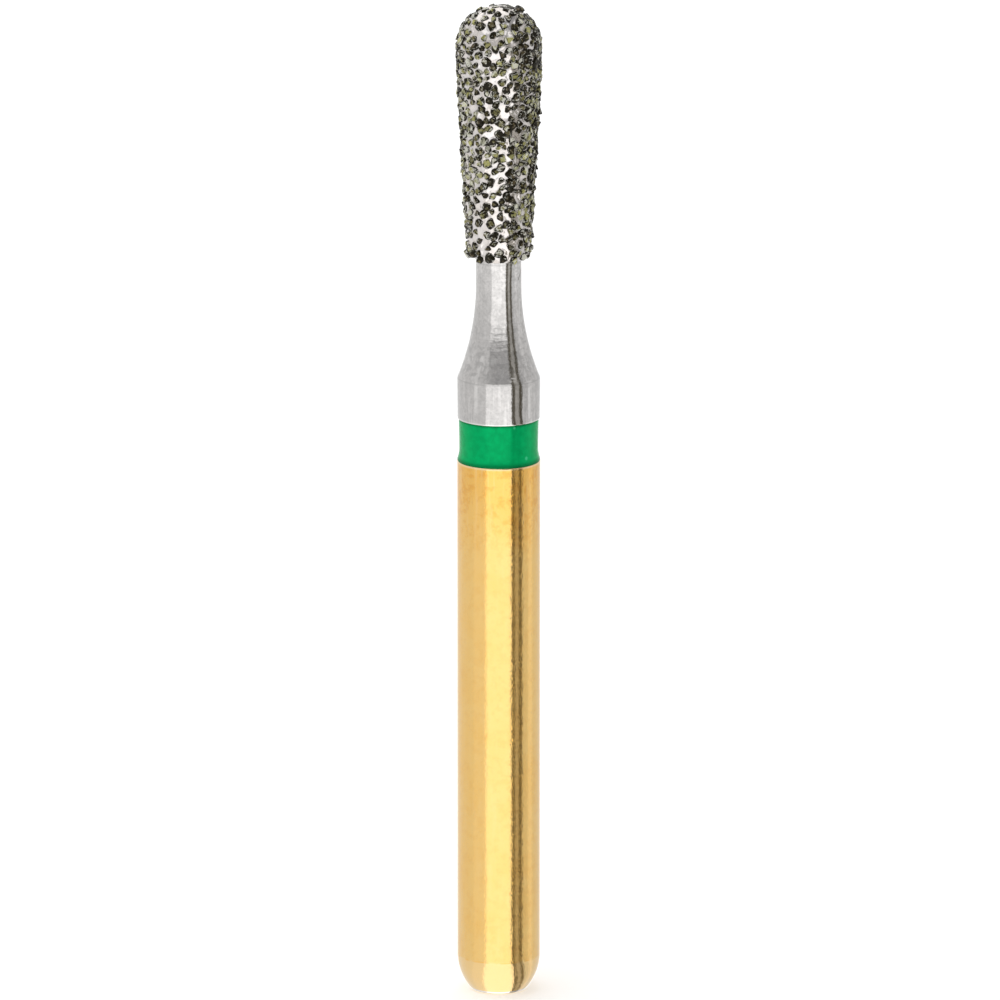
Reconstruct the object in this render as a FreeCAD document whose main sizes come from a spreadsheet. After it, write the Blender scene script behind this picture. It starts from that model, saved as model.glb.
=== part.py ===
"""Dental bur with a coarse diamond head on a friction-grip shank.

Millimetres. The flat end of the shank stands on the XY plane, and the head points up +Z.
"""

import math
import os
import random

import FreeCAD
import Part
import Sketcher

SIZES = [
    ("shank_diameter", 1.600, "standard friction-grip shank"),
    ("end_flat_diameter", 1.040, "flat end of the shank"),
    ("lead_in_length", 0.720, "rounded lead-in at the shank's end"),
    ("end_chamfer", 0.030, "broken edge round the flat end"),
    ("shank_length", 10.490, "flat end to the colour ring"),
    ("ring_width", 0.830, "colour ring along the shank"),
    ("ring_groove_depth", 0.160, "groove that holds the lacquer"),
    ("ring_top_step", 0.033, "lacquer below the collar at its upper edge"),
    ("ring_waist_step", 0.046, "lacquer below the shank at its waist"),
    ("ring_climb", 0.230, "height over which the lacquer climbs to the shank"),
    ("collar_width", 0.800, "steel collar above the ring"),
    ("flare_length", 1.800, "hollow flare from collar to neck"),
    ("neck_diameter", 0.884, "straight neck"),
    ("neck_length", 0.520, "straight neck"),
    ("head_length", 4.960, "lower edge of the nickel to the tip, over the grains"),
    ("head_diameter", 1.684, "large end of the head, over the grains"),
    ("head_small_diameter", 1.270, "small end of the head, over the grains"),
    ("coat_shoulder", 0.110, "height over which the nickel swells from the neck"),
    ("coat_edge", 0.020, "nickel's thickness where it ends on the neck"),
    ("grain_exposure", 0.067, "tallest grain above the nickel"),
    ("grain_root", 0.085, "deepest grain below the nickel's surface"),
    ("bond_floor", 0.015, "nickel under the deepest grain"),
    ("grain_width", 0.192, "widest grain, from corner to corner of its girdle"),
    ("grain_gap", 0.026, "least space between two grains"),
]

GRAIN_SEED = 11
DARTS = 40000
GIRDLE_LIFT = 0.25
SMALLEST_GRAIN = 0.80
GRAIN_TILT = 8.0
GRAIN_CORNERS = (3, 4)

BOND_RADIUS = "(Sizes.head_diameter / 2 - Sizes.grain_exposure)"
BOND_SMALL_RADIUS = "(Sizes.head_small_diameter / 2 - Sizes.grain_exposure)"
BOND_THICKNESS = "(Sizes.grain_root + Sizes.bond_floor)"
SHANK_RADIUS = "(Sizes.shank_diameter / 2)"
NECK_RADIUS = "(Sizes.neck_diameter / 2)"
RING_FOOT = "Sizes.shank_length"
RING_TOP = "(Sizes.shank_length + Sizes.ring_width)"
FLARE_FOOT = f"({RING_TOP} + Sizes.collar_width)"
NECK_FOOT = f"({FLARE_FOOT} + Sizes.flare_length)"
HEAD_FOOT = f"({NECK_FOOT} + Sizes.neck_length)"
SHOULDER_TOP = f"({HEAD_FOOT} + Sizes.coat_shoulder)"
DOME_CENTRE = f"({HEAD_FOOT} + Sizes.head_length - Sizes.head_diameter / 2)"

document = FreeCAD.newDocument("DentalBur")
sheet = document.addObject("Spreadsheet::Sheet", "Sizes")
for row, (name, value, note) in enumerate(SIZES, start=1):
    sheet.set(f"A{row}", name)
    sheet.set(f"B{row}", str(value))
    sheet.setAlias(f"B{row}", name)
    sheet.set(f"C{row}", note)
document.recompute()


def size(formula):
    """The value in mm of a formula on the sheet."""
    return float(sheet.evalExpression(formula))


def new_body(label):
    body = document.addObject("PartDesign::Body", label)
    body.Label = label
    body.Placement = FreeCAD.Placement()
    return body


def half_section(body, name):
    """An empty sketch on the body's XZ plane: x is the radius, y the height."""
    sketch = body.newObject("Sketcher::SketchObject", name)
    plane = next(item for item in body.Origin.OriginFeatures if item.Role == "XZ_Plane")
    sketch.AttachmentSupport = [(plane, "")]
    sketch.MapMode = "FlatFace"
    return sketch


def add_line(sketch, start, end):
    return sketch.addGeometry(Part.LineSegment(start, end), False)


def add_arc(sketch, centre, start, end):
    """An arc drawn anticlockwise from start to end."""
    circle = Part.Circle(centre, FreeCAD.Vector(0, 0, 1), (start - centre).Length)
    first = math.atan2(start.y - centre.y, start.x - centre.x)
    last = math.atan2(end.y - centre.y, end.x - centre.x)
    return sketch.addGeometry(Part.ArcOfCircle(circle, first, last), False)


def point(radius, height):
    """A sketch point from two formulas."""
    return FreeCAD.Vector(size(radius), size(height), 0)


def level_centre(far, near):
    """Centre of the arc through both points that leaves the near one along the axis."""
    rise = far.y - near.y
    x = (far.x**2 - near.x**2 + rise**2) / (2 * (far.x - near.x))
    return FreeCAD.Vector(x, near.y, 0)


def tie(sketch, kind, geometry, end, formula):
    """Holds one end of a line or arc at a radius or height taken from the sheet."""
    origin = (-1, 1)
    index = sketch.addConstraint(Sketcher.Constraint(kind, *origin, geometry, end, size(formula)))
    sketch.setExpression(f"Constraints[{index}]", formula)


def tie_point(sketch, geometry, end, radius, height):
    tie(sketch, "DistanceX", geometry, end, radius)
    tie(sketch, "DistanceY", geometry, end, height)


def join(sketch, *chain):
    """Joins each item's end to the next one's start: (geometry, first end, last end)."""
    for before, after in zip(chain, chain[1:]):
        sketch.addConstraint(Sketcher.Constraint("Coincident", before[0], before[2], after[0], after[1]))


def on_axis(sketch, geometry, end):
    vertical_axis = -2
    sketch.addConstraint(Sketcher.Constraint("PointOnObject", geometry, end, vertical_axis))


def revolve(body, sketch, kind, name):
    """A full turn of the sketch about the bur's axis."""
    turn = body.newObject(kind, name)
    turn.Profile = sketch
    turn.ReferenceAxis = (sketch, ["V_Axis"])
    turn.Angle = 360
    document.recompute()
    return turn


def taper_and_dome(sketch, radius, small_radius, foot):
    """The head's tapering side and the round end that it runs into, at one depth in the head.

    The side rises from the small radius at the foot and touches the dome, which is centred on the axis.
    """
    dome_radius = size(radius)
    centre = point("0", DOME_CENTRE)
    start = point(small_radius, foot)
    reach = math.hypot(start.x, centre.y - start.y)
    lean = math.atan2(centre.y - start.y, start.x) - math.acos(dome_radius / reach)
    touch = centre + FreeCAD.Vector(math.cos(lean), -math.sin(lean), 0) * dome_radius
    side = add_line(sketch, start, touch)
    dome = add_arc(sketch, centre, touch, centre + FreeCAD.Vector(0, dome_radius, 0))
    sketch.addConstraint(Sketcher.Constraint("Tangent", side, 2, dome, 1))
    tie_point(sketch, side, 1, small_radius, foot)
    on_axis(sketch, dome, 3)
    tie(sketch, "DistanceY", dome, 3, DOME_CENTRE)
    on_axis(sketch, dome, 2)
    index = sketch.addConstraint(Sketcher.Constraint("Radius", dome, dome_radius))
    sketch.setExpression(f"Constraints[{index}]", radius)
    return side, dome


CORE_RADIUS = f"({BOND_RADIUS} - {BOND_THICKNESS})"
CORE_SMALL_RADIUS = f"({BOND_SMALL_RADIUS} - {BOND_THICKNESS})"


def make_steel_blank():
    """The turned blank: shank, ring groove, collar, flare, neck and the head's core, all one piece."""
    body = new_body("steel_blank")
    sketch = half_section(body, "blank_section")

    end_middle = FreeCAD.Vector(0, 0, 0)
    end_edge = point("Sizes.end_flat_diameter / 2", "0")
    shank_foot = point(SHANK_RADIUS, "Sizes.lead_in_length")
    collar_top = point(SHANK_RADIUS, FLARE_FOOT)
    neck_foot = point(NECK_RADIUS, NECK_FOOT)
    neck_top = point(NECK_RADIUS, HEAD_FOOT)
    core_foot = point(CORE_SMALL_RADIUS, SHOULDER_TOP)
    core_tip = point("0", f"{DOME_CENTRE} + {CORE_RADIUS}")

    end_face = add_line(sketch, end_middle, end_edge)
    lead_in = add_arc(sketch, level_centre(end_edge, shank_foot), end_edge, shank_foot)
    wall = add_line(sketch, shank_foot, collar_top)
    flare = add_arc(sketch, level_centre(collar_top, neck_foot), neck_foot, collar_top)
    neck = add_line(sketch, neck_foot, neck_top)
    shoulder = add_line(sketch, neck_top, core_foot)
    side, dome = taper_and_dome(sketch, CORE_RADIUS, CORE_SMALL_RADIUS, SHOULDER_TOP)
    axis = add_line(sketch, core_tip, end_middle)

    join(sketch, (axis, 1, 2), (end_face, 1, 2), (lead_in, 1, 2), (wall, 1, 2), (flare, 2, 1),
         (neck, 1, 2), (shoulder, 1, 2), (side, 1, 2))
    join(sketch, (dome, 1, 2), (axis, 1, 2))
    sketch.addConstraint(Sketcher.Constraint("Coincident", end_face, 1, -1, 1))
    sketch.addConstraint(Sketcher.Constraint("Horizontal", end_face))
    tie(sketch, "DistanceX", end_face, 2, "Sizes.end_flat_diameter / 2")
    tie_point(sketch, wall, 1, SHANK_RADIUS, "Sizes.lead_in_length")
    tie_point(sketch, wall, 2, SHANK_RADIUS, FLARE_FOOT)
    sketch.addConstraint(Sketcher.Constraint("Horizontal", lead_in, 3, wall, 1))
    tie_point(sketch, neck, 1, NECK_RADIUS, NECK_FOOT)
    tie_point(sketch, neck, 2, NECK_RADIUS, HEAD_FOOT)
    sketch.addConstraint(Sketcher.Constraint("Horizontal", flare, 3, neck, 1))
    turned = revolve(body, sketch, "PartDesign::Revolution", "turned_blank")

    groove_sketch = half_section(body, "groove_section")
    floor = f"({SHANK_RADIUS} - Sizes.ring_groove_depth)"
    outside = f"({SHANK_RADIUS} + Sizes.ring_groove_depth)"
    corners = [(floor, RING_FOOT), (outside, RING_FOOT), (outside, RING_TOP), (floor, RING_TOP)]
    edges = [add_line(groove_sketch, point(*corners[turn]), point(*corners[(turn + 1) % 4]))
             for turn in range(4)]
    join(groove_sketch, *[(edge, 1, 2) for edge in edges], (edges[0], 1, 2))
    for edge, corner in zip(edges, corners):
        tie_point(groove_sketch, edge, 1, *corner)
    solid_volume = turned.Shape.Volume
    groove = revolve(body, groove_sketch, "PartDesign::Groove", "ring_groove")
    if not groove.Shape.Volume < solid_volume:
        raise RuntimeError("the ring groove cut nothing")

    chamfer = body.newObject("PartDesign::Chamfer", "end_chamfer")
    chamfer.Base = (groove, [edge_at(groove.Shape, size("Sizes.end_flat_diameter / 2"), 0)])
    chamfer.setExpression("Size", "Sizes.end_chamfer")
    document.recompute()
    return body


def edge_at(shape, radius, height):
    """Name of the circular edge about the axis with this radius and height."""
    for number, edge in enumerate(shape.Edges, start=1):
        circle = edge.Curve
        if circle.TypeId != "Part::GeomCircle" or not edge.Closed:
            continue
        if abs(circle.Radius - radius) < 1e-4 and abs(circle.Center.z - height) < 1e-4:
            return f"Edge{number}"
    raise RuntimeError(f"no round edge of radius {radius} at height {height}")


def make_colour_ring():
    """The lacquer in the groove: hollow across its face, and climbing to the shank at its foot."""
    body = new_body("colour_ring")
    sketch = half_section(body, "ring_section")
    floor = f"({SHANK_RADIUS} - Sizes.ring_groove_depth)"
    waist = f"({SHANK_RADIUS} - Sizes.ring_waist_step)"
    top = f"({SHANK_RADIUS} - Sizes.ring_top_step)"
    waist_height = f"({RING_FOOT} + Sizes.ring_climb)"

    floor_foot = point(floor, RING_FOOT)
    shank_edge = point(SHANK_RADIUS, RING_FOOT)
    waist_point = point(waist, waist_height)
    top_edge = point(top, RING_TOP)
    floor_top = point(floor, RING_TOP)

    foot_wall = add_line(sketch, floor_foot, shank_edge)
    climb = add_arc(sketch, level_centre(shank_edge, waist_point), waist_point, shank_edge)
    hollow = add_arc(sketch, level_centre(top_edge, waist_point), top_edge, waist_point)
    top_wall = add_line(sketch, top_edge, floor_top)
    back = add_line(sketch, floor_top, floor_foot)

    join(sketch, (foot_wall, 1, 2), (climb, 2, 1), (hollow, 2, 1), (top_wall, 1, 2), (back, 1, 2),
         (foot_wall, 1, 2))
    tie_point(sketch, foot_wall, 1, floor, RING_FOOT)
    tie_point(sketch, foot_wall, 2, SHANK_RADIUS, RING_FOOT)
    tie_point(sketch, climb, 1, waist, waist_height)
    sketch.addConstraint(Sketcher.Constraint("Horizontal", climb, 3, climb, 1))
    sketch.addConstraint(Sketcher.Constraint("Horizontal", hollow, 3, climb, 1))
    tie_point(sketch, top_wall, 1, top, RING_TOP)
    tie_point(sketch, top_wall, 2, floor, RING_TOP)
    revolve(body, sketch, "PartDesign::Revolution", "lacquer")
    return body


def make_plain_bond():
    """The nickel coat before the grains press their sockets into it."""
    body = new_body("plain_bond")
    sketch = half_section(body, "bond_section")
    edge = f"({NECK_RADIUS} + Sizes.coat_edge)"

    neck_edge = point(NECK_RADIUS, HEAD_FOOT)
    coat_foot = point(edge, HEAD_FOOT)
    shoulder_top = point(BOND_SMALL_RADIUS, SHOULDER_TOP)
    core_foot = point(CORE_SMALL_RADIUS, SHOULDER_TOP)
    bond_tip = point("0", f"{DOME_CENTRE} + {BOND_RADIUS}")
    core_tip = point("0", f"{DOME_CENTRE} + {CORE_RADIUS}")

    rim = add_line(sketch, neck_edge, coat_foot)
    shoulder = add_line(sketch, coat_foot, shoulder_top)
    side, dome = taper_and_dome(sketch, BOND_RADIUS, BOND_SMALL_RADIUS, SHOULDER_TOP)
    axis = add_line(sketch, bond_tip, core_tip)
    inner_side, inner_dome = taper_and_dome(sketch, CORE_RADIUS, CORE_SMALL_RADIUS, SHOULDER_TOP)
    inner_shoulder = add_line(sketch, core_foot, neck_edge)

    join(sketch, (dome, 1, 2), (axis, 1, 2), (inner_dome, 2, 1))
    join(sketch, (inner_side, 2, 1), (inner_shoulder, 1, 2), (rim, 1, 2), (shoulder, 1, 2), (side, 1, 2))
    tie_point(sketch, rim, 1, NECK_RADIUS, HEAD_FOOT)
    tie_point(sketch, rim, 2, edge, HEAD_FOOT)
    revolve(body, sketch, "PartDesign::Revolution", "nickel_coat")
    return body


def skin_places():
    """Seats for the grains on the nickel: each a point on its surface and the direction out of it.

    Darts fall evenly on the taper and the dome, and one that falls too near an earlier seat is dropped.
    """
    dome_radius = size(BOND_RADIUS)
    dome_centre = size(DOME_CENTRE)
    foot_radius = size(BOND_SMALL_RADIUS)
    foot_height = size(SHOULDER_TOP)
    pitch = size("Sizes.grain_width + Sizes.grain_gap")
    lowest = size("Sizes.grain_width / 2")

    reach = math.hypot(foot_radius, dome_centre - foot_height)
    lean = math.atan2(dome_centre - foot_height, foot_radius) - math.acos(dome_radius / reach)
    taper_length = math.sqrt(reach**2 - dome_radius**2)
    skin_length = taper_length + dome_radius * (math.pi / 2 + lean)
    chance = random.Random(GRAIN_SEED)
    seats = []
    nearby = {}

    for _ in range(DARTS):
        distance = chance.uniform(lowest, skin_length)
        turn = chance.uniform(0, 2 * math.pi)
        keep = chance.random()
        if distance < taper_length:
            tilt = -lean
            radius = foot_radius + distance * math.sin(lean)
            height = foot_height + distance * math.cos(lean)
        else:
            tilt = (distance - taper_length) / dome_radius - lean
            radius = dome_radius * math.cos(tilt)
            height = dome_centre + dome_radius * math.sin(tilt)
        if keep > radius / dome_radius:
            continue
        seat = FreeCAD.Vector(radius * math.cos(turn), radius * math.sin(turn), height)
        cell = tuple(math.floor(value / pitch) for value in seat)
        around = [(cell[0] + x, cell[1] + y, cell[2] + z)
                  for x in (-1, 0, 1) for y in (-1, 0, 1) for z in (-1, 0, 1)]
        if any((other - seat).Length < pitch for key in around for other in nearby.get(key, [])):
            continue
        nearby.setdefault(cell, []).append(seat)
        out = FreeCAD.Vector(math.cos(tilt) * math.cos(turn), math.cos(tilt) * math.sin(turn), math.sin(tilt))
        seats.append((seat, out))
    return seats


def make_grain(seat, out, chance):
    """One double-pointed diamond crystal whose root reaches into the nickel and whose tip cuts."""
    share = chance.uniform(SMALLEST_GRAIN, 1.0)
    half_width = size("Sizes.grain_width / 2") * share
    exposure = size("Sizes.grain_exposure") * share
    root = size("Sizes.grain_root") * share

    side = out.cross(FreeCAD.Vector(0, 0, 1))
    side = FreeCAD.Vector(1, 0, 0) if side.Length < 1e-6 else side.normalize()
    forward = out.cross(side)
    lean_way = chance.uniform(0, 2 * math.pi)
    lean = math.radians(chance.uniform(0, GRAIN_TILT))
    across = side * math.cos(lean_way) + forward * math.sin(lean_way)
    upright = out * math.cos(lean) + across * math.sin(lean)

    girdle_middle = seat + out * (GIRDLE_LIFT * exposure)
    tip = girdle_middle + upright * (exposure * (1 - GIRDLE_LIFT))
    root_end = girdle_middle - upright * (root + GIRDLE_LIFT * exposure)
    spin = chance.uniform(0, 2 * math.pi)
    count = chance.choice(GRAIN_CORNERS)
    corners = []
    for number in range(count):
        turn = spin + (number + chance.uniform(-0.15, 0.15)) * 2 * math.pi / count
        arm = side * math.cos(turn) + forward * math.sin(turn)
        arm = (arm - upright * arm.dot(upright)).normalize()
        corners.append(girdle_middle + arm * (half_width * chance.uniform(0.82, 1.0)))

    faces = []
    for first, second in zip(corners, corners[1:] + corners[:1]):
        faces.append(Part.Face(Part.makePolygon([first, second, tip, first])))
        faces.append(Part.Face(Part.makePolygon([second, first, root_end, second])))
    crystal = Part.makeSolid(Part.makeShell(faces))
    if crystal.Volume < 0:
        crystal.reverse()
    return crystal


def make_diamond_grit():
    """All the grains, each a separate solid."""
    chance = random.Random(GRAIN_SEED + 1)
    grit = document.addObject("Part::Feature", "diamond_grit")
    grit.Label = "diamond_grit"
    grit.Shape = Part.makeCompound([make_grain(seat, out, chance) for seat, out in skin_places()])
    grit.Placement = FreeCAD.Placement()
    return grit


def make_nickel_bond(plain_bond, grit):
    """The nickel with a socket round every grain's root."""
    bond = document.addObject("Part::Cut", "nickel_bond")
    bond.Label = "nickel_bond"
    bond.Base = plain_bond
    bond.Tool = grit
    bond.Placement = FreeCAD.Placement()
    document.recompute()
    if not bond.Shape.Volume < plain_bond.Shape.Volume:
        raise RuntimeError("the grains cut no sockets")
    return bond


blank = make_steel_blank()
ring = make_colour_ring()
diamond_grit = make_diamond_grit()
nickel_bond = make_nickel_bond(make_plain_bond(), diamond_grit)
document.recompute()

for item in document.Objects:
    if "Invalid" in item.State or "Error" in item.State:
        raise RuntimeError(f"{item.Name} failed: {item.State}")
pieces = [blank, ring, nickel_bond, diamond_grit]
for piece in pieces:
    if piece.Shape.isNull() or not piece.Shape.isValid():
        raise RuntimeError(f"{piece.Label} has no valid shape")
os.makedirs("parts", exist_ok=True)
for piece in pieces:
    piece.Shape.exportStep(f"parts/{piece.Label}.step")
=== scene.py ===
"""Looks of a dental bur with a gold-plated shank, a green ring and a head coated with diamond grit."""
import math
import random

import bmesh
import bpy
import numpy as np
from bpy.props import FloatProperty, FloatVectorProperty, IntProperty, PointerProperty
from mathutils import Matrix, Vector, noise


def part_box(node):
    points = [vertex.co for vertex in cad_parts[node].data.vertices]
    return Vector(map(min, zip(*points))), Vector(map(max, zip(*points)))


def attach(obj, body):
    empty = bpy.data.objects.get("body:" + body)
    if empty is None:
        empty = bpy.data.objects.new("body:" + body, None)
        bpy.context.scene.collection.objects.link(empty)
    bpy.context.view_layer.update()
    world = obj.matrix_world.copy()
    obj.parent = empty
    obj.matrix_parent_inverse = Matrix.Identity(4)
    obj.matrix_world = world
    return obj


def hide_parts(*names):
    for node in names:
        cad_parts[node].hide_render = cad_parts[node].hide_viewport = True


bl_info = {
    "name": "Dental bur",
    "version": (1, 0, 0),
    "blender": (4, 5, 0),
    "location": "3D View > Sidebar > Bur",
    "description": "Builds the turned blank, colour ring, nickel coat and diamond grit of a dental bur",
    "category": "Add Mesh",
}

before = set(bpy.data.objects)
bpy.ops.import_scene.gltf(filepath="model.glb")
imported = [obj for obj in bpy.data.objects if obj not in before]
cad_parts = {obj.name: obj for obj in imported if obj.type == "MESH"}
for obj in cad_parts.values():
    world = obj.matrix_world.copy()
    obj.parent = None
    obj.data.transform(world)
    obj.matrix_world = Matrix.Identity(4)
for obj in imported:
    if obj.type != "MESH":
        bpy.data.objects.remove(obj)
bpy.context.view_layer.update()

MM = 0.001
HAIR = 0.001 * MM


def outline_of(node):
    """The levels of a turned CAD node from the bottom up, each a height and its largest radius."""
    levels = {}
    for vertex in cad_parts[node].data.vertices:
        height = round(vertex.co.z, 7)
        radius = math.hypot(vertex.co.x, vertex.co.y)
        levels[height] = max(radius, levels.get(height, 0.0))
    return sorted(levels.items())


# Stations of the bur, read from the frame
BLANK = outline_of("steel_blank")
RING = outline_of("colour_ring")
COAT = outline_of("nickel_bond")
SHANK_RADIUS = max(radius for height, radius in BLANK)
SHANK_LEVELS = [height for height, radius in BLANK if radius > SHANK_RADIUS - HAIR]
LEAD_IN_TOP = SHANK_LEVELS[0]
COLLAR_TOP = SHANK_LEVELS[-1]
RING_FOOT = RING[0][0]
RING_TOP = RING[-1][0]
HEAD_FOOT = COAT[0][0]
NECK_RADIUS = min(radius for height, radius in BLANK if COLLAR_TOP < height <= HEAD_FOOT)
NECK_FOOT = next(height for height, radius in BLANK if height > COLLAR_TOP and radius < NECK_RADIUS + HAIR)
CORE = [(radius, height) for height, radius in BLANK if height > HEAD_FOOT + 0.01 * MM]
COAT_RADIUS = max(radius for height, radius in COAT)
DOME_CENTRE = COAT[-1][0] - COAT_RADIUS
SHOULDER = next((radius, height) for height, radius in COAT if height > HEAD_FOOT + 0.05 * MM)
SHOULDER_REACH = Vector((SHOULDER[0], SHOULDER[1] - DOME_CENTRE))
SHOULDER_TURN = SHOULDER_REACH.xy.angle_signed(Vector((1.0, 0.0)))
TAPER_TURN = math.acos(COAT_RADIUS / SHOULDER_REACH.length) + SHOULDER_TURN
GROOVE_RADIUS = min(math.hypot(v.co.x, v.co.y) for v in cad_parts["colour_ring"].data.vertices)

# The box that no crystal leaves, a little inside that of the CAD grit
GRIT_BOX_SHARE = 0.999
GRIT_LOW, GRIT_HIGH = (Vector(corner) * GRIT_BOX_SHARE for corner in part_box("diamond_grit"))
GRIT_LOW.z = HEAD_FOOT - 0.05 * MM

# Angles from which an edge is shaded sharp, and up to which two facets become one
SHARP_METAL = math.radians(50)
SHARP_CRYSTAL = math.radians(25)
SAME_PLANE = math.radians(6)

# How the grains are spread over the head. An opening is more room, as a share of the grains' sizes
SCATTER_ROWS = 400
COARSE_SWELL = 1.5
CROWD_MIDDLE = 0.62
CROWD_SWING = 0.38
FRONT_OPENING = 0.03
DOME_OPENING = 0.09
DOME_FOOT = DOME_CENTRE + 0.3 * MM
FOOT_OPENING = 0.03
FOOT_TOP = HEAD_FOOT + 0.9 * MM
LOWEST_GRAIN = HEAD_FOOT + 0.09 * MM
TILT = 0.28

# How the nickel climbs them: its most, as a share of the climb, and the grain it climbs in full
MOST_CLIMB = 1.5
FULL_CLIMB_GRAIN = 0.07 * MM
FOOT_FADE = 0.12 * MM


class Field:
    """What a shader socket gives. Python's operators on it add Math nodes."""

    def __init__(self, finish, socket):
        self.finish = finish
        self.socket = socket

    def __add__(self, other):
        return self.finish.math("ADD", self, other)

    def __sub__(self, other):
        return self.finish.math("SUBTRACT", self, other)

    def __rsub__(self, other):
        return self.finish.math("SUBTRACT", other, self)

    def __mul__(self, other):
        return self.finish.math("MULTIPLY", self, other)

    def __truediv__(self, other):
        return self.finish.math("DIVIDE", self, other)

    __radd__ = __add__
    __rmul__ = __mul__


class Finish:
    """A material under construction, with one method that adds a node of any type."""

    def __init__(self, name):
        self.material = bpy.data.materials.new(name)
        self.material.use_nodes = True
        self.tree = self.material.node_tree
        self.tree.nodes.clear()

    def node(self, kind, settings, sockets, output=0):
        """Adds a node: its settings are set first, then the values or links of its sockets."""
        made = self.tree.nodes.new("ShaderNode" + kind)
        for name, value in settings.items():
            if name == "stops":
                for place, colour in value[2:]:
                    made.color_ramp.elements.new(place)
                for stop, (place, colour) in zip(made.color_ramp.elements, value):
                    stop.position = place
                    stop.color = (*colour, 1.0)
            else:
                setattr(made, name, value)
        for name, value in sockets.items():
            if isinstance(value, Field):
                self.tree.links.new(value.socket, made.inputs[name])
            else:
                made.inputs[name].default_value = value
        return Field(self, made.outputs[output])

    def math(self, operation, *values):
        return self.node("Math", {"operation": operation}, dict(enumerate(values)))

    def place(self):
        """Position on the bur in millimetres."""
        metres = self.node("TexCoord", {}, {}, "Object")
        return self.node("VectorMath", {"operation": "SCALE"}, {0: metres, "Scale": 1 / MM})

    def stretched(self, place, factors):
        return self.node("VectorMath", {"operation": "MULTIPLY"}, {0: place, 1: factors})

    def height(self, place):
        return self.node("SeparateXYZ", {}, {0: place}, "Z")

    def noise(self, place, scale, detail=2.0, distortion=0.0):
        """Smooth noise with a given number of features in a millimetre."""
        sockets = {"Vector": place, "Scale": scale, "Detail": detail, "Distortion": distortion}
        return self.node("TexNoise", {}, sockets, 0)

    def ramp(self, value, low, high):
        """0 where value is under low, 1 over high, and smooth between."""
        settings = {"interpolation_type": "SMOOTHSTEP"}
        return self.node("MapRange", settings, {"Value": value, "From Min": low, "From Max": high})

    def mix(self, share, first, second):
        """The first colour, turning into the second as share goes from 0 to 1."""
        def colour(value):
            return value if isinstance(value, Field) else (*value, 1.0)
        sockets = {0: share, 6: colour(first), 7: colour(second)}
        return self.node("Mix", {"data_type": "RGBA"}, sockets, 2)

    def attribute(self, name):
        return self.node("Attribute", {"attribute_name": name}, {}, "Fac")

    def gap(self, first, second):
        return self.node("VectorMath", {"operation": "DISTANCE"}, {0: first, 1: second}, "Value")

    def scratch(self, place, start, end, width):
        """1 on the straight line between two points given in millimetres, and 0 from its width on."""
        start = Vector(start)
        along = Vector(end) - start
        from_start = self.node("VectorMath", {"operation": "SUBTRACT"}, {0: place, 1: start})
        share = self.node("VectorMath", {"operation": "DOT_PRODUCT"}, {0: from_start, 1: along}, "Value")
        share = self.node("Clamp", {}, {"Value": share / along.length_squared})
        nearest = self.node("VectorMath", {"operation": "SCALE"}, {0: along, "Scale": share})
        return 1 - self.ramp(self.gap(from_start, nearest), width * 0.3, width)

    def bump(self, micrometres):
        """A normal tilted by a height given in micrometres."""
        return self.node("Bump", {}, {"Height": micrometres, "Strength": 1.0, "Distance": 0.001 * MM})

    def shade(self, **sockets):
        """Joins a Principled shader to the output. A socket's name is given with underscores."""
        named = {}
        for name, value in sockets.items():
            named[name.replace("_", " ").title().replace("Ior", "IOR")] = value
        self.finish_with(self.node("BsdfPrincipled", {}, named))
        return self.material

    def finish_with(self, surface):
        output = self.tree.nodes.new("ShaderNodeOutputMaterial")
        self.tree.links.new(surface.socket, output.inputs["Surface"])


def on_skin(azimuth, height, radius):
    """A point at an azimuth in degrees from the front, a height and a radius."""
    turn = math.radians(azimuth)
    return radius * math.sin(turn), -radius * math.cos(turn), height


# Scratches of the steel, then painted highlight streaks on it: their two ends and width in millimetres
SCRATCHES = (
    (on_skin(58, 14.08, 0.442), on_skin(73, 14.24, 0.442), 0.030),
    (on_skin(60, 13.06, 0.500), on_skin(66, 13.14, 0.490), 0.028),
    (on_skin(152, 12.60, 0.620), on_skin(158, 12.95, 0.530), 0.030),
)
PAINTED_STREAKS = (
    (on_skin(55, 13.25, 0.480), on_skin(61, 13.68, 0.447), 0.034),
    (on_skin(-35, 12.16, 0.790), on_skin(-30, 12.62, 0.620), 0.060),
    (on_skin(-33, 11.60, 0.800), on_skin(-33, 12.05, 0.800), 0.060),
    (on_skin(47, 11.45, 0.800), on_skin(46, 12.00, 0.800), 0.050),
    (on_skin(-118, 13.60, 0.450), on_skin(-126, 13.90, 0.442), 0.034),
)


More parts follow.
